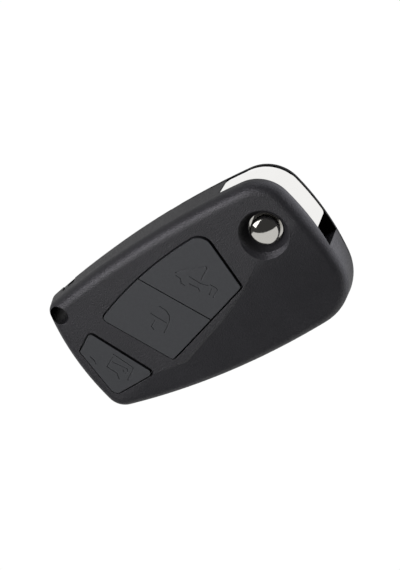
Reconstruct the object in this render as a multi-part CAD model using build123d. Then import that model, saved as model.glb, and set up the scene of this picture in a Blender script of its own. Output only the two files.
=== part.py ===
"""Folding key fob shell: black moulded case, flip-out blade on a chrome head, and three rubber keys.

Frame while modelling: the blade's pivot axis is x = y = 0, +x points to the wide head end, +y to the side
where the folded blade lies, and z = 0 is the flat back. All lengths are millimetres. The finished pieces
are moved so that the case's plan box is centred on the origin.
"""
import math
import os

from build123d import *

# Case in plan, from the pivot axis
HEAD_REACH = 10.2        # to the head end
TAIL_REACH = 58.4        # to the key-ring end
BLADE_REACH = 13.2       # to the side where the blade folds in
GRIP_REACH = 27.35       # to the opposite side
BLADE_SIDE_R = 200.0     # bow of each side
HEAD_SIDE_R = 60.0
GRIP_SIDE_R = 190.0
TAIL_SIDE_R = 61.5
BLADE_SIDE_X = -19.5     # where each side reaches furthest
HEAD_SIDE_Y = -4.5
GRIP_SIDE_X = -6.0
TAIL_SIDE_Y = -9.5
RING_CORNER_R = 3.5      # corners: key ring hole, head, grip, tail
HEAD_CORNER_R = 8.6
GRIP_CORNER_R = 13.0
TAIL_CORNER_R = 5.0

# Case in height
CASE_HEIGHT = 13.9       # crown of the front shell
SPLIT_Z = 3.2            # where the two shells meet
CROWN_R = 450.0          # front face, along the case
CROWN_X = -5.0           # highest place of the front face
LEAN_TURN = 15.0         # degrees, from the case's length to the line where the face starts to fall
LEAN_Y = -4.2            # that line, beside the crown
LEAN = 8.0               # degrees, how far it turns down there
LEAN_R = 15.0
ROLL_R = 110.0           # from there to the grip side
ROLL_SWEEP = 16          # degrees, past the grip side
CROWN_SWEEP = 9          # degrees each way, past both ends
DRAFT = 4.5              # degrees, sides of the front shell
SHOULDER_R = 2.6
BACK_EDGE_R = 3.0
WALL = 1.5
ROOF = 1.5               # front face thickness
FLOOR = 1.2              # back thickness
RIM_SETBACK = 1.05       # back shell rim behind the front wall, along the blade slot

# Flip-out head and blade
HEAD_R = 12.6            # its corner that closes the case
ARM_R = 11.4             # its arm for the blade
HEAD_GAP = 0.25          # head to its housing, all round
HEAD_ROOM_HEIGHT = 7.3
HEAD_CLEAR_Z = 0.15
HOUSING_WALL = 1.05
HUB_R = 7.6
HEAD_SKIN_GAP = 0.12     # head behind the back shell's rim and the front shell's side
HEAD_FLUSH_Z = 6.8       # from here up it is flush with the front shell's side
HEAD_END_Y = -6.0        # where the chrome stops on the head end
HEAD_SIDE_X = -2.9       # where the chrome stops on the blade side, at mid height
HEAD_SIDE_LEAN = 0.3     # slant of that end, in x for each mm of height
CORNER_WINDOW_GAP = 0.12 # shell's opening past that end
HEAD_EDGE_R = 0.9        # lower corner of the chrome's end
HEAD_BASE = 1.25         # under its bore
ARM_INNER_Y = 1.5
ARM_SKIN = 0.1           # outside the blade
WINDOW_GAP = 0.5         # beside the open blade
BLADE_INNER_Y = 2.0
BLADE_WIDTH = 8.4
BLADE_THICK = 2.3
BLADE_TIP_X = -45.2
BLADE_ROOT_X = -6.0
BLADE_TIP_BEVEL = 2.2
BLADE_TIP_DROP = 3.5     # bevel on the outer edge
BLADE_GAP = 0.2          # blade to the slot's floor and ceiling
GROOVE_WIDTH = 2.2       # milled track along the blade
GROOVE_DEPTH = 0.6
GROOVE_START = 2.0       # outside the head
SLOT_HEIGHT = 2.8
SLOT_END_GAP = 1.3       # slot beyond the blade's tip
NOTCH_LENGTH = 3.8       # pocket past the slot's end
NOTCH_HEIGHT = 4.8
NOTCH_DEPTH = 3.6
NOTCH_WALL = 0.7
PIN_R = 0.8
PIN_REACH = 2.9          # above the blade
PIN_X = -8.0
FIT_GAP = 0.03

# Release button, in a round recess over the pivot
BUTTON_R = 3.3
BUTTON_TOP = 14.0
BUTTON_CROWN_R = 5.5
BUTTON_EDGE_R = 0.8
BUTTON_TRAVEL = 1.6
BUTTON_GAP = 0.5         # round it, in the recess
FLANGE_R = 4.3
FLANGE_THICK = 0.6
STEM_R = 2.4
STEM_GAP = 0.1           # stem to the bore's floor when pressed
SLIDE_GAP = 0.06         # flange and key lips under the shell
RECESS_R = 5.6
RECESS_FLOOR_R = 3.9
SCOOP_SHIFT = (-0.27, -0.86)   # shallow scoop that opens the recess towards the grip side
SCOOP_LOW_R = 3.1
SCOOP_DEPTH = 1.7
RECESS_FLOOR_THICK = 0.7

# Inside the head
BORE_R = 5.0
BOSS_R = 3.0
BOSS_GAP = 0.05
BOSS_CLEAR_Z = 0.1
RING_THICK = 1.0
RING_HOLE_R = 3.2
RING_NOTCH = 1.4
SPRING_R = 4.0
SPRING_WIRE_R = 0.32
SPRING_TURNS = 3
SPRING_GAP = 0.24        # spring under the pressed flange

# Keys
KEY_GAP = 0.4            # key to the front shell
KEY_SPLIT = 0.22         # between the two upper keys
KEY_PROUD = 0.2
KEY_DEPTH = 2.05         # bottom of the keys under the front face
KEY_SHIFT = 0.15         # opening's middle towards the head
KEY_LIP = 0.75           # lip under the front shell
KEY_TRAVEL = 0.6
KEY_ROOM = 0.4           # free depth under the keys when pressed
UPPER_KEYS_LEFT = (-44.4, 1.5)
UPPER_KEYS_TOP = (-11.3, 7.2)
UPPER_KEYS_RIGHT = (-12.0, -7.9)
UPPER_KEYS_LOW = (-36.6, -15.0)
UPPER_KEYS_RADII = (1.0, 3.0, 0.6, 0.6)
UPPER_KEYS_BOW = 1.6     # upper edge, outward at its middle
SPLIT_START = (-30.9, 6.2)
SPLIT_END = (-22.3, -11.9)
VAN_KEY_CORNERS = ((-49.4, -0.1), (-42.9, -15.8), (-54.7, -16.2), (-54.6, -2.9))
VAN_KEY_RADII = (0.9, 1.0, 1.5, 0.5)
CREASE = ((-5.2, -4.9), (-13.3, -9.35), (-24.0, -13.3), (-37.0, -16.5), (-42.6, -15.6), (-30.0, -4.0))
CREASE_SLOPES = (40, 40, 40, 40, 90, 90)   # degrees, of the raised area's side along each stretch
RAISED_DEPTH = 4.5

# Key ring hole
RING_HOLE = (-52.9, 7.0)
RING_BORE_R = 2.2
RING_BOSS_WALL = 1.1

# Inner frame, over the blade slot
FRAME_WALL_Y = 0.9
FRAME_WALL = 0.7
FRAME_WEB = 0.8
FRAME_GAP = 0.15
FRAME_WEB_GAP = 0.1      # web over the slot's ceiling

# Electronics
BOARD_THICK = 0.8
BOARD_GAP = 0.5
BOARD_TAIL_X = -53.6
SWITCH_SIZE = 3.6
SWITCH_BODY = 0.8
SWITCH_PLUNGER_R = 0.9
SWITCH_HEIGHT = 1.1
SWITCH_PLACES = {"boot": (-19.6, -2.2), "lock": (-32.4, -5.2), "van": (-49.6, -9.6)}
PLUNGER_R = 1.4
PLUNGER_GAP = 0.7        # key plunger above its switch
MAT_THICK = 0.35
MAT_HOLE_GAP = 0.4
MAT_EDGE = 0.5           # mat behind the board's edge
FACE_GAP = 0.1           # board and mat under the front face
CELL_R = 10.0
CELL_THICK = 3.2
CELL_STEP = 0.5          # smaller face of the cell: height and inset
CELL_STEP_IN = 1.2
CELL_PLACE = (-28.0, -12.2)
CONTACT_THICK = 0.3
CONTACT_WIDTH = 3.0
CONTACT_LEG_GAP = 0.4    # leg beside the holder
HOLDER_GAP = 0.15
HOLDER_WALL = 0.7
HOLDER_HEIGHT = 2.4
CHIP_SIZE = (4.6, 4.6, 1.0)
CHIP_PLACE = (-43.5, -6.0)
CRYSTAL_SIZE = (2.2, 4.8, 1.2)
CRYSTAL_PLACE = (-43.5, -12.4)
TRANSPONDER_SIZE = (9.0, 5.0, 3.0)
TRANSPONDER_BEVEL = 0.8
TRANSPONDER_PLACE = (-9.5, -20.5)

# Case screws, driven from the back
SCREW_PLACES = ((-0.6, -19.2), (-51.5, -15.5))
SCREW_R = 0.8
SCREW_HEAD_R = 1.5
SCREW_HEAD = 0.9
SCREW_SINK = 0.25
SCREW_HEAD_GAP = 0.1
SCREW_TIP_GAP = 0.3
SCREW_SLOT = (2.2, 0.4, 0.45)
SCREW_GRIP = 4.2         # in the front shell
POST_R = 1.9

# Working values
FAR = 80.0               # cutters larger than the case
PAST = 1.0               # cutters past a face
TOP = CASE_HEIGHT + FAR
HEAD_ROOM_TOP = SPLIT_Z + HEAD_ROOM_HEIGHT
HEAD_BOTTOM = SPLIT_Z + HEAD_CLEAR_Z
HEAD_TOP = HEAD_ROOM_TOP - HEAD_CLEAR_Z
BORE_FLOOR_Z = HEAD_BOTTOM + HEAD_BASE
ARM_OUTER_Y = BLADE_INNER_Y + BLADE_WIDTH + ARM_SKIN
WINDOW_END_Y = -(BLADE_INNER_Y + BLADE_WIDTH + WINDOW_GAP)
SLOT_TOP = SPLIT_Z + SLOT_HEIGHT
BLADE_BOTTOM = SPLIT_Z + BLADE_GAP
BLADE_TOP = BLADE_BOTTOM + BLADE_THICK
SLOT_END_X = BLADE_TIP_X - SLOT_END_GAP
BOARD_BOTTOM = SLOT_TOP + FRAME_WEB_GAP + FRAME_WEB
BOARD_TOP = BOARD_BOTTOM + BOARD_THICK
SWITCH_TOP = BOARD_TOP + SWITCH_HEIGHT
HOUSING_R = HEAD_R + HEAD_GAP
CELL_BOTTOM = FLOOR + CONTACT_THICK
CELL_TOP = CELL_BOTTOM + CELL_THICK
FLANGE_TOP = HEAD_ROOM_TOP - SLIDE_GAP
FLANGE_BOTTOM = FLANGE_TOP - FLANGE_THICK
SPRING_TOP = FLANGE_BOTTOM - BUTTON_TRAVEL - SPRING_GAP
RECESS_FLOOR_Z = HEAD_ROOM_TOP + RECESS_FLOOR_THICK
PIN_TOP = BLADE_TOP + PIN_REACH
SCREW_TOP = SPLIT_Z + SCREW_GRIP
NOTCH_TOP = SPLIT_Z + NOTCH_HEIGHT
SLOT_WALL_Y = BLADE_REACH - SLOT_HEIGHT * math.tan(math.radians(DRAFT))
CENTRE = Vector((HEAD_REACH - TAIL_REACH) / 2, (SLOT_WALL_Y - GRIP_REACH) / 2, 0)


def prism(face, low, high):
    """The straight block over a plan shape, between two heights."""
    return Pos(0, 0, low) * extrude(face, amount=high - low, dir=(0, 0, 1))


def rod(radius, low, high, place=(0, 0)):
    """A round bar along z."""
    bar = Cylinder(radius, high - low, align=(Align.CENTER, Align.CENTER, Align.MIN))
    return Pos(place[0], place[1], low) * bar


def block(x_low, x_high, y_low, y_high, low, high):
    """A box from its limits."""
    size = (x_high - x_low, y_high - y_low, high - low)
    return Pos(x_low, y_low, low) * Box(*size, align=(Align.MIN, Align.MIN, Align.MIN))


def strip(x_low, x_high, y_low, y_high):
    """A plan rectangle from its limits."""
    return Pos(x_low, y_low) * Rectangle(x_high - x_low, y_high - y_low, align=(Align.MIN, Align.MIN))


def rounded(face, corners, radii):
    """Round each corner of a plan shape by its own radius."""
    for corner, radius in zip(corners, radii):
        vertex = face.vertices().sort_by_distance(Vector(*corner))[0]
        face = fillet(vertex, radius)
    return face


def bowed(start, end, bow):
    """An arc between two plan points, bulging left of its direction by bow."""
    chord = Vector(*end) - Vector(*start)
    middle = (Vector(*start) + Vector(*end)) * 0.5
    out = Vector(-chord.Y, chord.X).normalized() * bow
    return ThreePointArc(start, middle + out, end)


def case_outline(inset=0.0, blade_reach=BLADE_REACH):
    """Plan shape of the case, pulled in by inset: four bowed sides with round corners."""
    plan = Pos(BLADE_SIDE_X, blade_reach - BLADE_SIDE_R) * Circle(BLADE_SIDE_R - inset)
    plan &= Pos(HEAD_REACH - HEAD_SIDE_R, HEAD_SIDE_Y) * Circle(HEAD_SIDE_R - inset)
    plan &= Pos(GRIP_SIDE_X, GRIP_SIDE_R - GRIP_REACH) * Circle(GRIP_SIDE_R - inset)
    plan &= Pos(TAIL_SIDE_R - TAIL_REACH, TAIL_SIDE_Y) * Circle(TAIL_SIDE_R - inset)
    corners = (
        (-TAIL_REACH, BLADE_REACH),
        (HEAD_REACH, BLADE_REACH),
        (HEAD_REACH, -GRIP_REACH),
        (-TAIL_REACH, -GRIP_REACH),
    )
    radii = (RING_CORNER_R, HEAD_CORNER_R, GRIP_CORNER_R, TAIL_CORNER_R)
    return rounded(plan.faces()[0], corners, [radius - inset for radius in radii])


def turn_down(start, radius, slope, end_slope):
    """Arc in a section across the case, from one downward slope in degrees to a steeper one."""
    def point(angle):
        turn, first = math.radians(angle), math.radians(slope)
        across = radius * (math.sin(turn) - math.sin(first))
        return start - Vector(across, radius * (math.cos(first) - math.cos(turn)))
    return ThreePointArc(start, point((slope + end_slope) / 2), point(end_slope))


def drafted(inset, low, high):
    """The case outline pulled in by inset at the split, as a block whose sides lean in with height."""
    return Pos(0, 0, low) * extrude(case_outline(inset + lean_in(low)), amount=high - low, taper=DRAFT)


def lean_in(z):
    """How far the front shell's sides have leaned in at a height."""
    return (z - SPLIT_Z) * math.tan(math.radians(DRAFT))


def under_face(depth, rolled=True):
    """Everything under the front face lowered by depth; rolled falls away to the grip side."""
    top = CASE_HEIGHT - depth
    axis_z = CASE_HEIGHT - CROWN_R
    if rolled:
        start = Vector(LEAN_Y, top)
        kink = turn_down(start, LEAN_R - depth, 0, LEAN)
        roll = turn_down(kink @ 1, ROLL_R - depth, LEAN, LEAN + ROLL_SWEEP)
        end = roll @ 1
        line = Polyline(end, (end.X, -FAR), (FAR, -FAR), (FAR, top), start)
        section = make_face(Wire([*line.edges(), kink.edge(), roll.edge()]))
    else:
        section = make_face(Polyline((-FAR, top), (FAR, top), (FAR, -FAR), (-FAR, -FAR), (-FAR, top)))
    section = Plane(origin=(CROWN_X, 0, 0), x_dir=(0, 1, 0), z_dir=(1, 0, 0)) * section
    axis = Axis((CROWN_X, 0, axis_z), (0, 1, 0))
    face = revolve(section.rotate(axis, -CROWN_SWEEP), axis, 2 * CROWN_SWEEP)
    return face.rotate(Axis((CROWN_X, 0, 0), (0, 0, 1)), LEAN_TURN)


def crown_point(place):
    """The point of the level part of the front face over a plan point."""
    turn = math.radians(LEAN_TURN)
    along = (place[0] - CROWN_X) * math.cos(turn) + place[1] * math.sin(turn)
    return Vector(place[0], place[1], CASE_HEIGHT - CROWN_R + math.sqrt(CROWN_R ** 2 - along ** 2))


def upper_keys_outline():
    """Plan shape of the two upper keys together."""
    corners = (UPPER_KEYS_LEFT, UPPER_KEYS_TOP, UPPER_KEYS_RIGHT, UPPER_KEYS_LOW)
    left, top, right, low = corners
    edges = [bowed(left, top, UPPER_KEYS_BOW), Line(top, right), Line(right, low), Line(low, left)]
    return rounded(make_face(Wire(edges)), corners, UPPER_KEYS_RADII)


def van_key_outline():
    """Plan shape of the lower key."""
    line = Polyline(*VAN_KEY_CORNERS, VAN_KEY_CORNERS[0])
    return rounded(make_face(line), VAN_KEY_CORNERS, VAN_KEY_RADII)


def raised_area():
    """The raised area round the keys: it keeps the crown's height as far as the crease."""
    area = block(-FAR, FAR, -FAR, FAR, CASE_HEIGHT - RAISED_DEPTH, TOP) & under_face(0, rolled=False)
    for start, end, slope in zip(CREASE, CREASE[1:] + CREASE[:1], CREASE_SLOPES):
        start, end = crown_point(start), crown_point(end)
        along = (end - start).normalized()
        out = Vector(-along.Y, along.X, 0).normalized()
        turn = math.radians(slope)
        normal = out * math.sin(turn) + Vector(0, 0, 1) * math.cos(turn)
        side = Plane(origin=start, x_dir=along, z_dir=normal)
        area &= side * Pos(0, 0, -FAR) * Box(4 * FAR, 4 * FAR, 2 * FAR)
    return area


def outer_top_edges(body):
    """Edges where the front face meets the case's sides."""
    wire = case_outline(lean_in(CASE_HEIGHT)).wires()[0]
    found = []
    for edge in body.edges():
        middle = edge @ 0.5
        level = Vector(middle.X, middle.Y, 0)
        upright = abs((edge @ 0).Z - (edge @ 1).Z) > 0.9 * edge.length
        if middle.Z > SPLIT_Z + PAST and not upright and wire.distance_to(level) < PAST:
            found.append(edge)
    return found


def front_body():
    """The front shell as a solid lump: shoulders rounded, with the raised area on its face."""
    body = drafted(0, SPLIT_Z, CASE_HEIGHT + PAST) & under_face(0)
    body = fillet(outer_top_edges(body), SHOULDER_R) + raised_area()
    rim = case_outline(0, BLADE_REACH - RIM_SETBACK)
    body -= block(-FAR, FAR, 0, FAR, 0, SLOT_TOP) - prism(rim, -PAST, SLOT_TOP + PAST)
    return body - recess_cutter()


def recess_cutter():
    """Round dish over the pivot: sloping walls, a flat floor and the button's hole."""
    middle = (RECESS_FLOOR_Z + CASE_HEIGHT) / 2
    dish = Pos(0, 0, middle) * Cone(RECESS_FLOOR_R, RECESS_R, CASE_HEIGHT - RECESS_FLOOR_Z)
    scoop = Pos(*SCOOP_SHIFT, CASE_HEIGHT - SCOOP_DEPTH / 2) * Cone(SCOOP_LOW_R, RECESS_R, SCOOP_DEPTH)
    mouth = rod(RECESS_R, CASE_HEIGHT, TOP)
    hole = rod(BUTTON_R + BUTTON_GAP, HEAD_ROOM_TOP - PAST, CASE_HEIGHT)
    return dish + scoop + mouth + hole


def key_space(outline, gap, low_depth, high_depth=-PAST):
    """Space for a key with a gap around it, between two depths under the front face."""
    column = prism(Pos(KEY_SHIFT, 0) * offset(outline, amount=gap), SPLIT_Z, TOP)
    return (column & under_face(high_depth, rolled=False)) - under_face(low_depth)


def notch_pocket(wall):
    """Blind pocket past the blade's tip, or with a wall its casing."""
    inner = BLADE_REACH - NOTCH_DEPTH - wall
    return block(SLOT_END_X - NOTCH_LENGTH - wall, SLOT_END_X, inner, FAR, 0, NOTCH_TOP + wall)


def cavity(low):
    """Inside of the case for the electronics: a wall's thickness in from the outline."""
    room = drafted(WALL, low, CASE_HEIGHT) & under_face(ROOF)
    room -= rod(HOUSING_R + HOUSING_WALL, 0, TOP)
    room -= rod(RING_BORE_R + RING_BOSS_WALL, 0, TOP, RING_HOLE)
    room -= notch_pocket(NOTCH_WALL)
    for place in SCREW_PLACES:
        room -= rod(POST_R, 0, TOP, place)
    return room


def head_room():
    """The head's round housing with its window at the corner, and the window for the open blade.

    Past the chrome's slanted end only the arm sweeps by, so the housing is smaller there.
    """
    low = SPLIT_Z - PAST
    behind = past_side_end(CORNER_WINDOW_GAP) & block(-FAR, 0, ARM_R / 2, FAR, 0, TOP)
    room = rod(HOUSING_R, low, HEAD_ROOM_TOP) - behind
    room += rod(ARM_R + HEAD_GAP, low, HEAD_ROOM_TOP)
    window = block(0, FAR, WINDOW_END_Y, 0, low, HEAD_ROOM_TOP)
    corner = block(-FAR, FAR, 0, FAR, low, HEAD_ROOM_TOP) - past_side_end(CORNER_WINDOW_GAP)
    return room + window + corner


def past_side_end(gap):
    """Everything on the blade's side of the slanted end of the chrome, beyond a gap."""
    middle = Pos(HEAD_SIDE_X - gap, 0, (HEAD_BOTTOM + HEAD_TOP) / 2)
    slant = math.degrees(math.atan(HEAD_SIDE_LEAN))
    return middle * Rot(0, -slant, 0) * Pos(-FAR / 2, 0, 0) * Box(FAR, FAR, FAR)


def blade_slot():
    """Slot open to the blade side, with the taller pocket past the blade's tip."""
    slot = block(SLOT_END_X, 0, FRAME_WALL_Y + FRAME_WALL, FAR, SPLIT_Z - PAST, SLOT_TOP)
    return slot + notch_pocket(0)


def front_shell():
    """Moulded front: face with recess and key openings, walls, head housing, posts and ring boss."""
    shell = front_body() - cavity(SPLIT_Z - PAST)
    shell -= head_room()
    shell -= blade_slot()
    for outline in (upper_keys_outline(), van_key_outline()):
        low = KEY_DEPTH + KEY_TRAVEL + KEY_ROOM
        shell -= key_space(outline, KEY_GAP, low)
        shell -= key_space(outline, KEY_LIP + KEY_GAP / 2, low, ROOF)
    shell -= rod(RING_BORE_R, 0, TOP, RING_HOLE)
    for place in SCREW_PLACES:
        shell -= rod(SCREW_R + FIT_GAP, 0, SCREW_TOP + SCREW_TIP_GAP, place)
    return main_solid(shell)


def main_solid(shape):
    """The largest solid of a shape, without crumbs that a cut left."""
    return shape.solids().sort_by(SortBy.VOLUME)[-1]


def rear_shell():
    """Moulded back: round-edged tray, pivot boss and screw holes."""
    body = prism(case_outline(0, BLADE_REACH - RIM_SETBACK), 0, SPLIT_Z)
    body = fillet(body.faces().sort_by(Axis.Z)[0].edges(), BACK_EDGE_R)
    inner = case_outline(WALL)
    tray = prism(inner, FLOOR, TOP) & block(-FAR, FAR, -FAR, FRAME_WALL_Y, 0, TOP)
    tray -= rod(HOUSING_R + HOUSING_WALL, 0, TOP)
    for place in SCREW_PLACES:
        tray -= rod(POST_R, 0, TOP, place)
    body -= tray
    body += rod(BOSS_R, SPLIT_Z - PAST, BORE_FLOOR_Z - BOSS_CLEAR_Z)
    body -= rod(RING_BORE_R, -PAST, TOP, RING_HOLE)
    for place in SCREW_PLACES:
        body -= rod(SCREW_R + FIT_GAP, -PAST, TOP, place)
        body -= rod(SCREW_HEAD_R + SCREW_HEAD_GAP, -PAST, SCREW_SINK + SCREW_HEAD, place)
    return main_solid(body)


def head_plan():
    """Plan of the head: hub, the arm that holds the blade, and the corner that closes the case."""
    disc = Circle(HEAD_R)
    slant_reach = HEAD_SIDE_LEAN * (HEAD_TOP - HEAD_BOTTOM)
    side = strip(HEAD_SIDE_X - slant_reach, FAR, 0, FAR)
    low = strip(0, FAR, HEAD_END_Y, FAR)
    quarter = (side + low) & disc
    arm = strip(-ARM_R, 0, ARM_INNER_Y, ARM_OUTER_Y) & Circle(ARM_R)
    return quarter + arm + Circle(HUB_R)


def blade_head():
    """Chromed die-cast head, bored for the release parts and slotted for the blade's root."""
    head = prism(head_plan().face(), HEAD_BOTTOM, HEAD_TOP)
    head &= drafted(HEAD_SKIN_GAP, SPLIT_Z, HEAD_ROOM_TOP)
    low = case_outline(HEAD_SKIN_GAP, BLADE_REACH - RIM_SETBACK)
    rise = HEAD_FLUSH_Z - HEAD_BOTTOM
    flare = math.degrees(math.atan((RIM_SETBACK - lean_in(HEAD_FLUSH_Z)) / rise))
    skirt = Pos(0, 0, HEAD_BOTTOM) * extrude(low, amount=rise, taper=-flare)
    head &= skirt + block(-FAR, FAR, -FAR, FAR, HEAD_FLUSH_Z, TOP)
    head -= past_side_end(0) & block(-FAR, 0, ARM_OUTER_Y, FAR, 0, TOP)
    chrome_end = Vector(HEAD_REACH, HEAD_END_Y, HEAD_BOTTOM)
    head = fillet(head.edges().filter_by(Axis.X).sort_by_distance(chrome_end)[0], HEAD_EDGE_R)
    head -= rod(BORE_R, BORE_FLOOR_Z, TOP)
    head -= rod(BOSS_R + BOSS_GAP, 0, TOP)
    blade_side = (BLADE_INNER_Y - FIT_GAP, BLADE_INNER_Y + BLADE_WIDTH + FIT_GAP)
    head -= block(-FAR, BLADE_ROOT_X, *blade_side, 0, BLADE_TOP + FIT_GAP)
    head -= rod(PIN_R + FIT_GAP, 0, PIN_TOP, (PIN_X, BLADE_INNER_Y + BLADE_WIDTH / 2))
    return main_solid(head)


def key_blade():
    """Uncut steel blade with a bevelled tip and a milled track on each face."""
    low, high = BLADE_INNER_Y, BLADE_INNER_Y + BLADE_WIDTH
    root, tip, bevel = BLADE_ROOT_X - FIT_GAP, BLADE_TIP_X, BLADE_TIP_BEVEL
    outer = ((root, low), (root, high), (tip + bevel, high), (tip, high - BLADE_TIP_DROP))
    plan = Polyline(*outer, (tip, low + bevel), (tip + bevel, low), (root, low))
    blade = prism(make_face(plan), BLADE_BOTTOM, BLADE_TOP)
    middle = (low + high) / 2
    half = GROOVE_WIDTH / 2
    for z_low, z_high in ((BLADE_TOP - GROOVE_DEPTH, TOP), (0, BLADE_BOTTOM + GROOVE_DEPTH)):
        blade -= block(-FAR, -ARM_R - GROOVE_START, middle - half, middle + half, z_low, z_high)
    blade -= rod(PIN_R + FIT_GAP, 0, TOP, (PIN_X, middle))
    return main_solid(blade)


def blade_pin():
    """Roll pin that holds the blade's root in the head."""
    place = (PIN_X, BLADE_INNER_Y + BLADE_WIDTH / 2)
    pin = rod(PIN_R, BLADE_BOTTOM, PIN_TOP - FIT_GAP, place)
    return pin - rod(PIN_R / 2, 0, TOP, place)


def release_button():
    """Chromed cap with a crowned top, a flange under the front shell and a guide stem."""
    cap = rod(BUTTON_R, FLANGE_BOTTOM, TOP) & Pos(0, 0, BUTTON_TOP - BUTTON_CROWN_R) * Sphere(BUTTON_CROWN_R)
    cap = fillet(cap.edges().filter_by(Plane.XY).sort_by(Axis.Z)[-1], BUTTON_EDGE_R)
    flange = rod(FLANGE_R, FLANGE_BOTTOM, FLANGE_TOP)
    stem = rod(STEM_R, BORE_FLOOR_Z + BUTTON_TRAVEL + STEM_GAP, FLANGE_TOP)
    return main_solid(cap + flange + stem)


def lock_ring():
    """Steel ring on the bore's floor, notched twice to lock the head."""
    ring = rod(BORE_R - BOSS_GAP, BORE_FLOOR_Z, BORE_FLOOR_Z + RING_THICK) - rod(RING_HOLE_R, 0, TOP)
    half = RING_NOTCH / 2
    for side in (-1, 1):
        ring -= Pos(side * RING_HOLE_R, 0, 0) * block(-half, half, -half, half, 0, TOP)
    return main_solid(ring)


def flip_spring():
    """Coil that turns the head out, on the lock ring."""
    low = BORE_FLOOR_Z + RING_THICK + SPRING_WIRE_R
    pitch = (SPRING_TOP - SPRING_WIRE_R - low) / SPRING_TURNS
    path = Pos(0, 0, low) * Helix(pitch, pitch * SPRING_TURNS, SPRING_R)
    section = Plane(origin=path @ 0, z_dir=path % 0) * Circle(SPRING_WIRE_R)
    return sweep(section, path, is_frenet=True)


def key(plan, lip_plan, place, rolled=False):
    """Moulded rubber key: plate with a lip under the front shell, and a plunger over its switch."""
    under_roof = under_face(ROOF + SLIDE_GAP)
    plate = prism(plan, SPLIT_Z, TOP) & under_face(-KEY_PROUD, rolled)
    lip = prism(lip_plan, SPLIT_Z, TOP) & under_roof
    plunger = rod(PLUNGER_R, SWITCH_TOP, CASE_HEIGHT, place) & under_roof
    whole = (plate + lip - under_face(KEY_DEPTH)) + plunger
    return main_solid(whole & block(-FAR, FAR, -FAR, FAR, SWITCH_TOP + PLUNGER_GAP, TOP))


def split_half(side):
    """The plan area on one side of the line between the two upper keys."""
    start = Vector(*SPLIT_START)
    along = (Vector(*SPLIT_END) - start).normalized()
    across = Vector(-along.Y, along.X) * side
    near = start + across * (KEY_SPLIT / 2)
    ends = [near - along * FAR, near + along * FAR]
    corners = [*ends, ends[1] + across * FAR, ends[0] + across * FAR]
    return make_face(Polyline(*corners, corners[0]))


def keys():
    """The three keys; the two upper ones share one outline, parted by a straight line."""
    made = {}
    outline = upper_keys_outline()
    for name, side in (("boot", 1), ("lock", -1)):
        half = split_half(side)
        plan = (half & outline).faces()[0]
        lip_plan = (half & offset(outline, amount=KEY_LIP)).faces()[0]
        made[f"{name}_key"] = key(plan, lip_plan, SWITCH_PLACES[name])
    outline = van_key_outline()
    made["van_key"] = key(outline, offset(outline, amount=KEY_LIP), SWITCH_PLACES["van"], rolled=True)
    return made


def inside_plan(clear):
    """Plan of the room for the electronics at the board, pulled in by a clearance."""
    plan = case_outline(WALL + lean_in(BOARD_TOP) + clear)
    plan -= Circle(HOUSING_R + HOUSING_WALL + clear)
    plan -= Pos(*RING_HOLE) * Circle(RING_BORE_R + RING_BOSS_WALL + clear)
    wall = NOTCH_WALL + clear
    inner = BLADE_REACH - NOTCH_DEPTH - wall
    plan -= strip(SLOT_END_X - NOTCH_LENGTH - wall, SLOT_END_X + wall, inner, FAR)
    for place in SCREW_PLACES:
        plan -= Pos(*place) * Circle(POST_R + clear)
    return plan


def inner_frame():
    """Frame that closes the blade slot from above and inside, and carries the board."""
    end = SLOT_END_X - FRAME_WALL
    plan = inside_plan(FRAME_GAP) & strip(end, FAR, FRAME_WALL_Y, FAR)
    web_low = BOARD_BOTTOM - FRAME_WEB
    web = prism(plan, web_low, BOARD_BOTTOM)
    body = prism(plan, SPLIT_Z, BOARD_BOTTOM)
    wall = body & block(end, 0, FRAME_WALL_Y, FRAME_WALL_Y + FRAME_WALL - FRAME_GAP, 0, TOP)
    stop = body & block(end, SLOT_END_X - FRAME_GAP, FRAME_WALL_Y, BLADE_REACH, 0, TOP)
    return main_solid(web + wall + stop)


def board_plan(clear):
    """Plan of the circuit board, or of a smaller sheet on it."""
    low = BOARD_TAIL_X + clear
    zone = strip(low, -HOUSING_R - clear, -FAR, FAR)
    return (inside_plan(clear) & zone).faces().sort_by(SortBy.AREA)[-1]


def circuit_board():
    """Board over the inner frame."""
    return main_solid(prism(board_plan(BOARD_GAP), BOARD_BOTTOM, BOARD_TOP) & under_face(ROOF + FACE_GAP))


def key_mat():
    """Rubber mat on the board, with a hole for each switch."""
    plan = board_plan(BOARD_GAP + MAT_EDGE)
    side = SWITCH_SIZE + 2 * MAT_HOLE_GAP
    for place in SWITCH_PLACES.values():
        plan -= Pos(*place) * Rectangle(side, side)
    mat = prism(plan.faces()[0], BOARD_TOP, BOARD_TOP + MAT_THICK)
    return main_solid(mat & under_face(ROOF + FACE_GAP))


def key_switch(place):
    """Low tactile switch on the board."""
    half = SWITCH_SIZE / 2
    body = block(place[0] - half, place[0] + half, place[1] - half, place[1] + half,
                 BOARD_TOP, BOARD_TOP + SWITCH_BODY)
    return body + rod(SWITCH_PLUNGER_R, BOARD_TOP, SWITCH_TOP, place)


def chip(size, place, high):
    """A component under the board, hanging from height high."""
    x, y = place
    return block(x - size[0] / 2, x + size[0] / 2, y - size[1] / 2, y + size[1] / 2, high - size[2], high)


def coin_cell():
    """Lithium coin cell: a can with a stepped smaller face below."""
    cell = rod(CELL_R, CELL_BOTTOM + CELL_STEP, CELL_TOP, CELL_PLACE)
    return cell + rod(CELL_R - CELL_STEP_IN, CELL_BOTTOM, CELL_TOP, CELL_PLACE)


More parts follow.
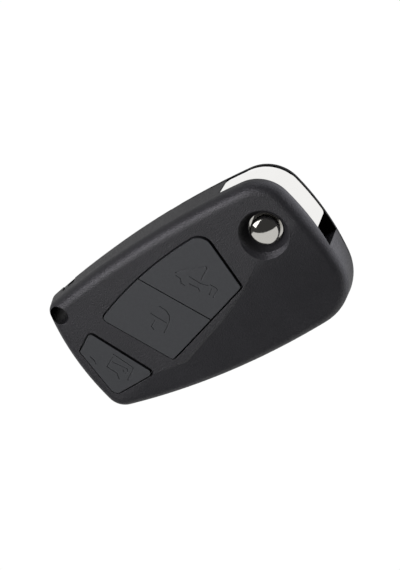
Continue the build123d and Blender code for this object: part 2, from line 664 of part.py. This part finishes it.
def cell_holder():
    """Moulded ring round the cell, open at both ends of its contacts."""
    inner = CELL_R + HOLDER_GAP
    ring = rod(inner + HOLDER_WALL, FLOOR, FLOOR + HOLDER_HEIGHT, CELL_PLACE)
    ring -= rod(inner, 0, TOP, CELL_PLACE)
    half = CONTACT_WIDTH / 2 + 2 * HOLDER_GAP
    y = CELL_PLACE[1]
    return ring - block(-FAR, FAR, y - half, y + half, 0, TOP)


def cell_contact(side, low):
    """Sprung strip on one face of the cell, with a leg up to the board."""
    x, y = CELL_PLACE
    half = CONTACT_WIDTH / 2
    end = x + side * (CELL_R + HOLDER_GAP + HOLDER_WALL + CONTACT_LEG_GAP)
    near, far = sorted((x - side * half, end))
    spring = block(near, far, y - half, y + half, low, low + CONTACT_THICK)
    leg_low, leg_high = sorted((end, end - side * CONTACT_THICK))
    return spring + block(leg_low, leg_high, y - half, y + half, low, BOARD_BOTTOM)


def transponder_chip():
    """Immobiliser chip with bevelled ends, on the back shell's floor."""
    x, y = TRANSPONDER_PLACE
    length, width, height = TRANSPONDER_SIZE
    body = block(x - length / 2, x + length / 2, y - width / 2, y + width / 2, FLOOR, FLOOR + height)
    return chamfer(body.edges().filter_by(Axis.Y).group_by(Axis.Z)[-1], TRANSPONDER_BEVEL)


def case_screws():
    """Screws from the back into the front shell's posts."""
    screws = Part()
    for place in SCREW_PLACES:
        head = rod(SCREW_HEAD_R, SCREW_SINK, SCREW_SINK + SCREW_HEAD, place)
        screw = head + rod(SCREW_R, SCREW_SINK, SCREW_TOP, place)
        screws += screw - Pos(*place, SCREW_SINK) * Box(*SCREW_SLOT)
    return screws


def all_pieces():
    """Every piece by its node name."""
    pieces = {
        "front_shell": front_shell(),
        "rear_shell": rear_shell(),
        "blade_head": blade_head(),
        "key_blade": key_blade(),
        "blade_pin": blade_pin(),
        "release_button": release_button(),
        "lock_ring": lock_ring(),
        "flip_spring": flip_spring(),
        "inner_frame": inner_frame(),
        "circuit_board": circuit_board(),
        "key_mat": key_mat(),
        "radio_chip": chip(CHIP_SIZE, CHIP_PLACE, BOARD_BOTTOM),
        "crystal_can": chip(CRYSTAL_SIZE, CRYSTAL_PLACE, BOARD_BOTTOM),
        "coin_cell": coin_cell(),
        "cell_holder": cell_holder(),
        "contact_negative": cell_contact(1, FLOOR),
        "contact_positive": cell_contact(-1, CELL_TOP),
        "transponder_chip": transponder_chip(),
        "case_screws": case_screws(),
    }
    pieces.update(keys())
    for name, place in SWITCH_PLACES.items():
        pieces[f"{name}_switch"] = key_switch(place)
    return pieces


def main():
    """Write each piece to its own file."""
    os.makedirs("parts", exist_ok=True)
    for name, piece in all_pieces().items():
        export_step(Pos(-CENTRE.X, -CENTRE.Y, 0) * piece, f"parts/{name}.step")


if __name__ == "__main__":
    main()
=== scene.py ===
"""Looks of a folding key fob shell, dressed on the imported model.

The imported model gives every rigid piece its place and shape. This file gives each piece its finish, cuts
the pictograms into the rubber keys, and sets up the studio. Lengths are in millimetres where a name ends
in _mm, and in metres elsewhere, in the model's own frame: +X to the wide head end, +Y to the side where
the blade folds in, +Z out of the face.
"""

import logging
import math
from dataclasses import dataclass
from enum import Enum
from typing import Any, Sequence

import bmesh
import bpy
from mathutils import Matrix, Vector
from mathutils.bvhtree import BVHTree

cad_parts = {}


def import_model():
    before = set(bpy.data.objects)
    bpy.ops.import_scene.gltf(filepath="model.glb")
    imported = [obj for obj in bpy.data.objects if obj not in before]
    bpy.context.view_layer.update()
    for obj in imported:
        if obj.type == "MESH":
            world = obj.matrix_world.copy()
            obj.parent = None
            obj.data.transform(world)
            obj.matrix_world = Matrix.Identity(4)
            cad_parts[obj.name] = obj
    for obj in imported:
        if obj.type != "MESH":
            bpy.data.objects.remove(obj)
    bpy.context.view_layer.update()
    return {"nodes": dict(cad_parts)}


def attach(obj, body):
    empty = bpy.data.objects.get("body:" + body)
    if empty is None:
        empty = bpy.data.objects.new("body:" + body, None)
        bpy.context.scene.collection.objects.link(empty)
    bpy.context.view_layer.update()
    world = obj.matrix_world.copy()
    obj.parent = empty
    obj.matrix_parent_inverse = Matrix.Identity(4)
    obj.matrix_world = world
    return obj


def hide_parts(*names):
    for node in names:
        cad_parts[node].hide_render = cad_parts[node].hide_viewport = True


LOG = logging.getLogger("key fob")
MM = 0.001
NOISE_LOW, NOISE_HIGH = 0.3, 0.7    # a noise texture's values lie mostly between these
EDGE_SAMPLES = 6                    # rays that find a piece's edges, to round them

Colour = tuple[float, float, float, float]
Point = tuple[float, float]
Stroke = tuple[Point, ...]
Nodes = dict[str, bpy.types.Object]
Sockets = dict[str | int, Any]


def linear(hex_colour: str) -> Colour:
    """Turn an sRGB hex colour into linear values.

    Args:
        hex_colour: Six hex digits.

    Returns:
        Linear red, green, blue and an alpha of one.
    """
    parts = [int(hex_colour[i:i + 2], 16) / 255 for i in (0, 2, 4)]
    r, g, b = (p / 12.92 if p <= 0.04045 else ((p + 0.055) / 1.055) ** 2.4 for p in parts)
    return (r, g, b, 1.0)


def add_node(tree: bpy.types.NodeTree, kind: str, links: Sockets | None = None,
             values: Sockets | None = None, **settings: Any) -> bpy.types.Node:
    """Add a shader node with its settings, socket values and incoming links.

    Args:
        tree: Node tree to add to.
        kind: Blender's type name of the node.
        links: Output sockets by the name or number of the input that they feed.
        values: Constants by the name or number of their input.
        settings: The node's own properties.

    Returns:
        The new node.
    """
    node = tree.nodes.new(kind)
    for name, value in settings.items():
        setattr(node, name, value)
    for name, value in (values or {}).items():
        node.inputs[name].default_value = value
    for name, socket in (links or {}).items():
        tree.links.new(socket, node.inputs[name])
    return node


def new_material(name: str) -> tuple[bpy.types.Material, bpy.types.NodeTree, bpy.types.Node]:
    """Start a material with an empty node tree.

    Args:
        name: The material's name.

    Returns:
        The material, its tree and its output node.
    """
    material = bpy.data.materials.new(name)
    material.use_nodes = True
    material.node_tree.nodes.clear()
    output = add_node(material.node_tree, "ShaderNodeOutputMaterial")
    return material, material.node_tree, output


def blend_colours(tree: bpy.types.NodeTree, factor: bpy.types.NodeSocket, low: Colour, high: Colour,
                  start: float = NOISE_LOW, end: float = NOISE_HIGH) -> bpy.types.NodeSocket:
    """Go from one colour to another as a factor rises.

    Args:
        tree: Node tree to add to.
        factor: Socket that drives it.
        low: Colour up to start.
        high: Colour from end.
        start: Where the change starts.
        end: Where it ends.

    Returns:
        The colour output.
    """
    share = add_node(tree, "ShaderNodeMapRange", {"Value": factor}, {"From Min": start, "From Max": end})
    mix = add_node(tree, "ShaderNodeMix", {0: share.outputs["Result"]}, data_type="RGBA")
    mix.inputs[6].default_value, mix.inputs[7].default_value = low, high
    return mix.outputs[2]


def times(colour: Colour, factor: float) -> Colour:
    """Scale a colour's brightness."""
    return (colour[0] * factor, colour[1] * factor, colour[2] * factor, 1.0)


def show(name: str, data: bpy.types.ID) -> bpy.types.Object:
    """Add an object to the scene.

    Args:
        name: Its name.
        data: Its mesh, light or camera.

    Returns:
        The new object.
    """
    thing = bpy.data.objects.new(name, data)
    bpy.context.scene.collection.objects.link(thing)
    return thing


class Relief(Enum):
    """How a mould's face, and so the plastic's, was made."""

    SPARK_ERODED = "spark eroded"
    GROUND = "ground"


class Finish:
    """A material that pieces are dressed in."""

    name: str

    def material(self) -> bpy.types.Material:
        """Build the node material."""
        raise NotImplementedError

    def dress(self, nodes: Nodes, names: Sequence[str]) -> None:
        """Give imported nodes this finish.

        Args:
            nodes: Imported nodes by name.
            names: Which of them.
        """
        material = self.material()
        for name in names:
            mesh = nodes[name].data
            mesh.materials.clear()
            mesh.materials.append(material)
            LOG.info("%s dressed in %s", name, material.name)


@dataclass(frozen=True)
class MouldedPlastic(Finish):
    """Moulded ABS or nylon: a soft matt sheen that breaks into fine specks where it catches the light."""

    name: str
    colour: str = "232325"
    roughness: float = 0.42
    grain_mm: float = 0.33      # real grain is near 0.1 mm wide; drawn coarser, and deeper, so that it shows
    grain_depth_mm: float = 0.12
    grain_strength: float = 0.8
    mottle_mm: float = 9.0
    mottle: float = 0.1
    edge_mm: float = 0.16
    gloss: float = 0.34
    smoother: float = 0.1       # where the grain is low
    rougher: float = 0.12       # where it is high
    ior: float = 1.53
    relief: Relief = Relief.SPARK_ERODED

    def material(self) -> bpy.types.Material:
        """Build the node material.

        Returns:
            The finished material.
        """
        material, tree, output = new_material(self.name)
        place = add_node(tree, "ShaderNodeTexCoord").outputs["Object"]
        stretch = (1.0 if self.relief is Relief.SPARK_ERODED else 0.15, 1.0, 1.0)
        grain_place = add_node(tree, "ShaderNodeMapping", {"Vector": place}, {"Scale": stretch})
        grain = add_node(tree, "ShaderNodeTexNoise", {"Vector": grain_place.outputs["Vector"]},
                         {"Scale": 1 / (self.grain_mm * MM), "Detail": 2.0, "Roughness": 0.6}).outputs["Fac"]
        mottle = add_node(tree, "ShaderNodeTexNoise", {"Vector": place},
                          {"Scale": 1 / (self.mottle_mm * MM), "Detail": 3.0}).outputs["Fac"]
        base = linear(self.colour)
        shade = blend_colours(tree, mottle, times(base, 1 - self.mottle), times(base, 1 + self.mottle))
        rough = add_node(tree, "ShaderNodeMapRange", {"Value": grain},
                         {"From Min": NOISE_LOW, "From Max": NOISE_HIGH,
                          "To Min": self.roughness - self.smoother,
                          "To Max": self.roughness + self.rougher}).outputs["Result"]
        rounded = add_node(tree, "ShaderNodeBevel", values={"Radius": self.edge_mm * MM},
                           samples=EDGE_SAMPLES)
        bump = add_node(tree, "ShaderNodeBump", {"Height": grain, "Normal": rounded.outputs["Normal"]},
                        {"Strength": self.grain_strength,
                         "Distance": self.grain_depth_mm * MM}).outputs["Normal"]
        shader = add_node(tree, "ShaderNodeBsdfPrincipled",
                          {"Base Color": shade, "Roughness": rough, "Normal": bump},
                          {"IOR": self.ior, "Specular IOR Level": self.gloss})
        tree.links.new(shader.outputs["BSDF"], output.inputs["Surface"])
        return material


@dataclass(frozen=True)
class SiliconeRubber(Finish):
    """Moulded silicone: smoother and a touch lighter than the case, with a dull even sheen."""

    name: str
    colour: str = "2f3132"
    roughness: float = 0.52
    grain_mm: float = 0.6
    grain_depth_mm: float = 0.01
    grain_strength: float = 0.15
    mottle: float = 0.07
    edge_mm: float = 0.12
    ior: float = 1.45
    sheen: float = 0.05
    sheen_roughness: float = 0.4

    def material(self) -> bpy.types.Material:
        """Build the node material.

        Returns:
            The finished material.
        """
        material, tree, output = new_material(self.name)
        place = add_node(tree, "ShaderNodeTexCoord").outputs["Object"]
        grain = add_node(tree, "ShaderNodeTexNoise", {"Vector": place},
                         {"Scale": 1 / (self.grain_mm * MM), "Detail": 3.0}).outputs["Fac"]
        base = linear(self.colour)
        shade = blend_colours(tree, grain, times(base, 1 - self.mottle), times(base, 1 + self.mottle))
        rounded = add_node(tree, "ShaderNodeBevel", values={"Radius": self.edge_mm * MM},
                           samples=EDGE_SAMPLES)
        bump = add_node(tree, "ShaderNodeBump", {"Height": grain, "Normal": rounded.outputs["Normal"]},
                        {"Strength": self.grain_strength,
                         "Distance": self.grain_depth_mm * MM}).outputs["Normal"]
        shader = add_node(tree, "ShaderNodeBsdfPrincipled", {"Base Color": shade, "Normal": bump},
                          {"Roughness": self.roughness, "IOR": self.ior, "Sheen Weight": self.sheen,
                           "Sheen Roughness": self.sheen_roughness})
        tree.links.new(shader.outputs["BSDF"], output.inputs["Surface"])
        return material


@dataclass(frozen=True)
class Metal(Finish):
    """Plated or bright metal: mirror clear where plated, with fine streaks where rolled or brushed."""

    name: str
    colour: str = "e9e8e6"
    roughness: float = 0.06
    streak_mm: tuple[float, float, float] = (2.0, 2.0, 2.0)
    streak_depth_mm: float = 0.0005
    streak_strength: float = 0.2
    spread: float = 0.03
    smoothest: float = 0.01
    edge_mm: float = 0.1

    def material(self) -> bpy.types.Material:
        """Build the node material.

        Returns:
            The finished material.
        """
        material, tree, output = new_material(self.name)
        place = add_node(tree, "ShaderNodeTexCoord").outputs["Object"]
        scale = tuple(1 / (s * MM) for s in self.streak_mm)
        stretched = add_node(tree, "ShaderNodeMapping", {"Vector": place}, {"Scale": scale})
        streak = add_node(tree, "ShaderNodeTexNoise", {"Vector": stretched.outputs["Vector"]},
                          {"Scale": 1.0, "Detail": 4.0}).outputs["Fac"]
        rough = add_node(tree, "ShaderNodeMapRange", {"Value": streak},
                         {"From Min": NOISE_LOW, "From Max": NOISE_HIGH,
                          "To Min": max(self.roughness - self.spread, self.smoothest),
                          "To Max": self.roughness + self.spread}).outputs["Result"]
        rounded = add_node(tree, "ShaderNodeBevel", values={"Radius": self.edge_mm * MM},
                           samples=EDGE_SAMPLES)
        bump = add_node(tree, "ShaderNodeBump", {"Height": streak, "Normal": rounded.outputs["Normal"]},
                        {"Strength": self.streak_strength,
                         "Distance": self.streak_depth_mm * MM}).outputs["Normal"]
        shader = add_node(tree, "ShaderNodeBsdfPrincipled", {"Roughness": rough, "Normal": bump},
                          {"Base Color": linear(self.colour), "Metallic": 1.0})
        tree.links.new(shader.outputs["BSDF"], output.inputs["Surface"])
        return material


@dataclass(frozen=True)
class SolderMask(Finish):
    """Glass-epoxy board under green solder mask: glossy, its copper tracks showing as paler cells."""

    name: str = "green_solder_mask"
    colour: str = "0f4a24"
    track_colour: str = "2a6b3c"
    track_mm: float = 1.27      # a usual pitch of tracks; a cell is two of them wide
    cell_edge: tuple[float, float] = (0.25, 0.3)
    roughness: float = 0.28
    ior: float = 1.5

    def material(self) -> bpy.types.Material:
        """Build the node material.

        Returns:
            The finished material.
        """
        material, tree, output = new_material(self.name)
        place = add_node(tree, "ShaderNodeTexCoord").outputs["Object"]
        cells = add_node(tree, "ShaderNodeTexVoronoi", {"Vector": place},
                         {"Scale": 1 / (2 * self.track_mm * MM)},
                         distance="MANHATTAN", feature="F1").outputs["Distance"]
        tracks = blend_colours(tree, cells, linear(self.track_colour), linear(self.colour), *self.cell_edge)
        shader = add_node(tree, "ShaderNodeBsdfPrincipled", {"Base Color": tracks},
                          {"Roughness": self.roughness, "IOR": self.ior})
        tree.links.new(shader.outputs["BSDF"], output.inputs["Surface"])
        return material


@dataclass(frozen=True)
class StudioPaper(Finish):
    """Backlit white sweep: even light from edge to edge, with a very faint fibre mottle."""

    name: str = "studio_paper"
    colour: str = "ffffff"
    glow: float = 1.02
    fibre_mm: float = 3.0
    mottle: float = 0.01

    def material(self) -> bpy.types.Material:
        """Build the node material.

        Returns:
            The finished material.
        """
        material, tree, output = new_material(self.name)
        place = add_node(tree, "ShaderNodeTexCoord").outputs["Object"]
        fibre = add_node(tree, "ShaderNodeTexNoise", {"Vector": place},
                         {"Scale": 1 / (self.fibre_mm * MM), "Detail": 4.0}).outputs["Fac"]
        white = linear(self.colour)
        shade = blend_colours(tree, fibre, times(white, 1 - self.mottle), white)
        glow = add_node(tree, "ShaderNodeEmission", {"Color": shade}, {"Strength": self.glow})
        tree.links.new(glow.outputs["Emission"], output.inputs["Surface"])
        return material


@dataclass
class Case:
    """Both shells of the case: black ABS, the back one deeper and duller as painted shade, since its thin rim
    lies in shadow.
    """

    front: MouldedPlastic = MouldedPlastic("case_abs")
    # painted shade: the back shell is a near-black, low-gloss copy of the case plastic, standing for the shadow
    # along its thin rim
    back: MouldedPlastic = MouldedPlastic("back_abs_painted_shade", colour="0a0a0b", gloss=0.08)

    def dress(self, nodes: Nodes) -> None:
        """Dress both shells."""
        self.front.dress(nodes, ["front_shell"])
        self.back.dress(nodes, ["rear_shell"])


@dataclass
class FlipHead:
    """Chromed head with its blade, pin, lock ring and spring, and the release button.

    Chrome plate on moulded plastic mirrors clearly, so the head takes the white of the floor and the button
    shows its own sky. The nickel plated blank is drawn along its length, and the hardened steel is dull.
    """

    plate: Metal = Metal("chrome_plate", colour="efeeec", roughness=0.05)
    button: Metal = Metal("chrome_cap", colour="c8c6c1", roughness=0.07, edge_mm=0.05)
    blade: Metal = Metal("nickel_blank", colour="c2bfb8", roughness=0.3, streak_mm=(6.0, 0.25, 0.25),
                         streak_depth_mm=0.004, spread=0.08)
    hard: Metal = Metal("hardened_steel", colour="a9a9aa", roughness=0.34, streak_mm=(0.4, 0.4, 0.4),
                        spread=0.08)

    def dress(self, nodes: Nodes) -> None:
        """Dress the turning pieces and the button."""
        self.plate.dress(nodes, ["blade_head"])
        self.button.dress(nodes, ["release_button"])
        self.blade.dress(nodes, ["key_blade"])
        self.hard.dress(nodes, ["blade_pin", "lock_ring", "flip_spring", "case_screws"])


@dataclass
class Inside:
    """Board, switches, cell and the frame that carries them.

    Nylon from a ground mould is streaked one way, epoxy is matt, and nickel or brass strip is rolled bright.
    """

    frame: MouldedPlastic = MouldedPlastic("frame_nylon", colour="2e2e30", roughness=0.5,
                                           relief=Relief.GROUND)
    switches: MouldedPlastic = MouldedPlastic("switch_nylon", colour="3a3a3c", roughness=0.45,
                                              relief=Relief.GROUND)
    chips: MouldedPlastic = MouldedPlastic("chip_epoxy", colour="1b1b1c", roughness=0.6, grain_mm=0.2)
    mat: SiliconeRubber = SiliconeRubber("mat_silicone", colour="262628")
    board: SolderMask = SolderMask()
    cans: Metal = Metal("nickel_can", colour="bdbcb6", roughness=0.26, streak_mm=(3.0, 0.2, 0.2),
                        spread=0.07)
    strips: Metal = Metal("nickel_brass", colour="b39a63", roughness=0.28, streak_mm=(0.2, 3.0, 0.2),
                          spread=0.07)

    def dress(self, nodes: Nodes) -> None:
        """Dress everything inside the case."""
        self.frame.dress(nodes, ["inner_frame", "cell_holder"])
        self.switches.dress(nodes, ["boot_switch", "lock_switch", "van_switch"])
        self.chips.dress(nodes, ["radio_chip", "transponder_chip"])
        self.mat.dress(nodes, ["key_mat"])
        self.board.dress(nodes, ["circuit_board"])
        self.cans.dress(nodes, ["coin_cell", "crystal_can"])
        self.strips.dress(nodes, ["contact_negative", "contact_positive"])


@dataclass(frozen=True)
class Pictogram:
    """A generic line drawing on one key, as strokes in plan."""

    key: str
    strokes_mm: tuple[Stroke, ...]


BOOT = Pictogram("boot", (
    ((1.5, 9.1), (1.9, 7.9), (1.3, 6.9), (1.7, 6.2)),
    ((1.9, 9.7), (3.4, 9.5), (6.0, 8.5), (8.6, 7.5), (8.5, 6.8), (6.8, 6.0), (5.7, 5.3)),
    ((3.9, 7.4), (5.0, 4.8), (6.1, 3.4)),
    ((2.9, 5.8), (3.9, 4.0), (3.7, 3.3)),
    ((6.8, 3.2), (7.4, 1.9), (7.2, 1.3), (5.4, 0.5)),
    ((6.3, 2.3), (5.1, 1.4)),
))
PADLOCK = Pictogram("lock", (
    ((-6.5, 4.7), (-5.9, 3.1), (-6.1, 1.6), (-7.0, 0.5), (-8.5, -0.5), (-9.8, -1.2)),
    ((-9.4, 4.3), (-7.8, 0.6)),
    ((-9.6, 2.4), (-11.4, 1.5), (-11.4, 0.7)),
))
VAN = Pictogram("van", (
    ((-29.1, 2.1), (-28.9, 1.0), (-29.1, 0.0)),
    ((-24.4, -0.6), (-27.3, -1.9), (-26.3, -4.5), (-26.9, -5.9)),
    ((-23.8, 0.0), (-22.0, -4.9), (-22.2, -5.4), (-25.2, -7.1)),
    ((-25.3, -1.5), (-23.4, -4.7), (-23.9, -5.4), (-24.5, -5.4)),
    ((-24.5, -4.5), (-24.6, -4.9)),
))


@dataclass
class RubberKeys:
    """The three keys, each with its pictogram cut into the face as fine grooves."""

    rubber: SiliconeRubber = SiliconeRubber("key_silicone")
    pictograms: tuple[Pictogram, ...] = (BOOT, PADLOCK, VAN)
    groove_mm: float = 0.24
    depth_mm: float = 0.12
    step_mm: float = 0.5        # length of a stroke's runs
    rise_mm: float = 0.4        # cutter above the face
    weld_mm: float = 0.0001     # vertices nearer than this are one
    above_mm: float = 100.0     # where a ray down to the face starts

    def stroke_line(self, stroke: Stroke) -> list[Vector]:
        """Divide a stroke into short runs.

        Args:
            stroke: Its corners in plan.

        Returns:
            Points along it, in plan, in metres.
        """
        line: list[Vector] = []
        for start, end in zip(stroke, stroke[1:]):
            a, b = Vector(start) * MM, Vector(end) * MM
            count = max(1, round((b - a).length / (self.step_mm * MM)))
            line += [a.lerp(b, i / count) for i in range(count)]
        return line + [Vector(stroke[-1]) * MM]

    def groove_cutter(self, stroke: Stroke, face: BVHTree) -> bpy.types.Object:
        """Build the closed ribbon that cuts one stroke, its floor a groove's depth under the key's face.

        Args:
            stroke: Its corners in plan.
            face: The key's surface.

        Returns:
            The cutter.
        """
        line = self.stroke_line(stroke)
        half = self.groove_mm * MM / 2
        last = len(line) - 1
        mesh = bmesh.new()
        rings = []
        for i, place in enumerate(line):
            ahead = line[min(i + 1, last)] - line[max(i - 1, 0)]
            side = Vector((-ahead.y, ahead.x)).normalized() * half
            shift = ahead.normalized() * half * ((i == last) - (i == 0))
            hit = face.ray_cast(Vector((place.x, place.y, self.above_mm * MM)), Vector((0, 0, -1)))[0]
            low, high = hit.z - self.depth_mm * MM, hit.z + self.rise_mm * MM
            corners = [(place + shift - side, low), (place + shift + side, low),
                       (place + shift + side, high), (place + shift - side, high)]
            rings.append([mesh.verts.new((spot.x, spot.y, z)) for spot, z in corners])
        for near, far in zip(rings, rings[1:]):
            for k in range(len(near)):
                after = (k + 1) % len(near)
                mesh.faces.new((near[k], near[after], far[after], far[k]))
        mesh.faces.new(rings[0][::-1])
        mesh.faces.new(rings[-1])
        bmesh.ops.recalc_face_normals(mesh, faces=mesh.faces)
        data = bpy.data.meshes.new("groove_cutter")
        mesh.to_mesh(data)
        mesh.free()
        return show("groove_cutter", data)

    def engrave(self, body: bpy.types.Object, strokes: Sequence[Stroke]) -> None:
        """Cut strokes into a key's mesh, in place.

        Args:
            body: The key, with a mesh of its own.
            strokes: What is cut into it.
        """
        shape = bmesh.new()
        shape.from_mesh(body.data)
        bmesh.ops.remove_doubles(shape, verts=shape.verts, dist=self.weld_mm * MM)
        face = BVHTree.FromBMesh(shape)
        shape.to_mesh(body.data)
        shape.free()
        cutters = [self.groove_cutter(stroke, face) for stroke in strokes]
        for cutter in cutters:
            cut = body.modifiers.new("groove", "BOOLEAN")
            cut.operation, cut.solver, cut.object = "DIFFERENCE", "EXACT", cutter
        depsgraph = bpy.context.evaluated_depsgraph_get()
        engraved = bpy.data.meshes.new_from_object(body.evaluated_get(depsgraph))
        body.modifiers.clear()
        body.data = engraved
        for cutter in cutters:
            bpy.data.objects.remove(cutter)

    def build_key(self, nodes: Nodes, pictogram: Pictogram, material: bpy.types.Material) -> bpy.types.Object:
        """Build one engraved key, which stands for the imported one.

        Args:
            nodes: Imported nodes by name.
            pictogram: What is cut into it.
            material: The rubber.

        Returns:
            The key.
        """
        node = f"{pictogram.key}_key"
        body = show(f"{node}_engraved", nodes[node].data.copy())
        self.engrave(body, pictogram.strokes_mm)
        for polygon in body.data.polygons:
            polygon.use_smooth = False
        body.data.materials.clear()
        body.data.materials.append(material)
        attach(body, pictogram.key)
        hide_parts(node)
        LOG.info("%s: %d faces in %s", body.name, len(body.data.polygons), material.name)
        return body

    def build(self, nodes: Nodes) -> Nodes:
        """Build and dress all three keys.

        Args:
            nodes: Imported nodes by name.

        Returns:
            The engraved keys by name.
        """
        material = self.rubber.material()
        self.rubber.dress(nodes, [f"{p.key}_key" for p in self.pictograms])
        keys = [self.build_key(nodes, pictogram, material) for pictogram in self.pictograms]
        return {key.name: key for key in keys}


def light_only(source: bpy.types.Object, pieces: Nodes, lit: Sequence[str]) -> None:
    """Keep a light, or a glowing surface, off everything but some pieces, as a studio's flags do.

    Args:
        source: The light or surface.
        pieces: Shown pieces by name.
        lit: Names of the pieces that it lights.
    """
    group = bpy.data.collections.new(f"{source.name}_group")
    for name in lit:
        group.objects.link(pieces[name])
    source.light_linking.receiver_collection = group


@dataclass
class SoftBox:
    """A rectangular soft box, which faces a centre on the floor from some direction."""

    name: str
    direction: tuple[float, float, float]
    size: tuple[float, float]
    radiance: float
    lights: Sequence[str]
    distance: float = 1.0
    tint: str = "ffffff"
    centre_mm: Point = (0.0, 0.0)

    def hang(self, pieces: Nodes) -> None:
        """Hang the box and flag it off the pieces that it doesn't light.

        Args:
            pieces: Shown pieces by name.
        """
        data = bpy.data.lights.new(self.name, "AREA")
        data.shape = "RECTANGLE"
        data.size, data.size_y = self.size
        data.energy = self.radiance * math.pi * self.size[0] * self.size[1]
        data.color = linear(self.tint)[:3]
        light = show(self.name, data)
        toward = Vector(self.direction).normalized()
        light.location = Vector((*self.centre_mm, 0.0)) * MM + toward * self.distance
        light.rotation_mode = "QUATERNION"
        light.rotation_quaternion = (-toward).to_track_quat("-Z", "Y")
        light.visible_camera = False
        light_only(light, pieces, self.lights)


@dataclass
class Studio:
    """Backlit floor, soft boxes and the camera at the photograph's angle."""

    floor_mm: float = 6000.0
    floor_drop_mm: float = 0.2
    shade_drop_mm: float = 0.05
    shade_mm: tuple[Point, ...] = (
        (-30.2, 6.0), (-30.6, 13.4), (-28.6, 14.8), (-24.0, 14.1), (-12.0, 15.4), (5.0, 16.1), (24.0, 15.2),
        (29.2, 12.4), (30.8, 4.0), (29.2, -10.6), (25.0, -15.4), (14.0, -16.8), (-6.0, -15.2), (-23.0, -12.4),
        (-28.6, -10.8), (-30.9, -5.0),
    )
    lens_mm: float = 208.6
    sensor_mm: float = 36.0
    near: float = 0.01
    far: float = 20.0
    room: str = "404040"
    camera_at: tuple[float, float, float] = (0.2132, 0.1487, 0.4531)
    camera_right: tuple[float, float, float] = (0.7871, -0.5899, -0.18)
    camera_forward: tuple[float, float, float] = (-0.4112, -0.2844, -0.866)

    def lay(self, name: str, outline_mm: Sequence[Point], drop_mm: float, finish: Finish) -> bpy.types.Object:
        """Lay a flat sheet, facing up, which isn't part of the object.

        Args:
            name: The sheet's name.
            outline_mm: Its corners in plan, anticlockwise.
            drop_mm: How far it lies under the fob's back.
            finish: What it is made of.

        Returns:
            The sheet.
        """
        mesh = bpy.data.meshes.new(name)
        corners = [(x * MM, y * MM, 0) for x, y in outline_mm]
        mesh.from_pydata(corners, [], [tuple(range(len(corners)))])
        mesh.materials.append(finish.material())
        sheet = show(name, mesh)
        sheet.location.z = -drop_mm * MM
        return sheet

    def build_floor(self, pieces: Nodes, bright: Sequence[str]) -> None:
        """Lay the glowing floor, and a near-black sheet under the fob as its painted shadow.

        Args:
            pieces: Shown pieces by name.
            bright: Names of those that mirror the floor's full glow.
        """
        half = self.floor_mm / 2
        square = ((-half, -half), (half, -half), (half, half), (-half, half))
        floor = self.lay("floor", square, self.floor_drop_mm, StudioPaper())
        light_only(floor, pieces, bright)
        # painted shadow: a near-black sheet stands for the paper under the fob, which gets no light, and shows
        # through the key-ring hole
        dark = MouldedPlastic("shaded_paper", colour="050505", gloss=0.0)
        self.lay("contact_shade", self.shade_mm[::-1], self.shade_drop_mm, dark)

    def build_lights(self, pieces: Nodes) -> None:
        """Hang the soft boxes and set the dim room.

        Args:
            pieces: Shown pieces by name.
        """
        # mirror-bright pieces show whatever a box puts in them, so the button and the blade have their own sky,
        # and the floor's softer glow is kept off the chrome head, which mirrors the floor itself
        button, blade = ["release_button"], ["key_blade"]
        dull = [name for name in pieces if name not in button + blade]
        walls = [name for name in dull if name != "blade_head"] + blade
        boxes = [
            SoftBox("overhead_box", (-0.41, 0.14, 0.90), (0.95, 0.8), 1.85, dull),
            SoftBox("crest_strip", (-0.41, 0.52, 0.74), (0.9, 0.5), 6.5, dull, tint="f9f5ff"),
            SoftBox("grip_strip", (-0.05, -1.0, 0.06), (1.6, 0.1), 3.0, dull),
            SoftBox("end_fill", (0.9, -0.3, 0.02), (0.8, 0.3), 5.0, walls, tint="f6f4ff"),
            SoftBox("floor_glow", (0.0, 0.0, -1.0), (6.0, 6.0), 0.55, walls, distance=0.0001),
            SoftBox("end_glow", (0.0, 0.0, -1.0), (0.4, 0.4), 1.3, walls, distance=0.00008, tint="f3f2ff",
                    centre_mm=(236.0, 0.0)),
            SoftBox("blade_sky", (0.0, 0.0, 1.0), (3.0, 3.0), 0.5, blade),
            SoftBox("button_sky", (-0.25, -0.9, 0.62), (5.0, 1.75), 0.8, button),
            SoftBox("button_window", (-0.30, 0.66, 0.69), (0.9, 0.3), 2.6, button),
        ]
        for box in boxes:
            box.hang(pieces)
        world = bpy.data.worlds.new("dim_room")
        world.use_nodes = True
        world.node_tree.nodes["Background"].inputs["Color"].default_value = linear(self.room)
        bpy.context.scene.world = world

    def build_camera(self) -> None:
        """Place the camera."""
        data = bpy.data.cameras.new("camera")
        data.lens, data.sensor_width, data.sensor_fit = self.lens_mm, self.sensor_mm, "HORIZONTAL"
        data.clip_start, data.clip_end = self.near, self.far
        right = Vector(self.camera_right).normalized()
        forward = Vector(self.camera_forward).normalized()
        turn = Matrix((right, right.cross(forward).normalized(), -forward)).transposed().to_4x4()
        camera = show("camera", data)
        camera.matrix_world = Matrix.Translation(self.camera_at) @ turn
        bpy.context.scene.camera = camera


def main() -> None:
    """Build everything in order."""
    logging.basicConfig(level=logging.INFO, format="%(name)s: %(message)s")
    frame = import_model()
    nodes = frame["nodes"]
    Case().dress(nodes)
    FlipHead().dress(nodes)
    Inside().dress(nodes)
    engraved = RubberKeys().build(nodes)
    pieces = dict(nodes) | engraved
    studio = Studio()
    studio.build_floor(pieces, ["blade_head", "release_button"])
    studio.build_lights(pieces)
    studio.build_camera()
    bpy.context.scene.view_settings.view_transform = "Standard"


if __name__ == "__main__":
    main()
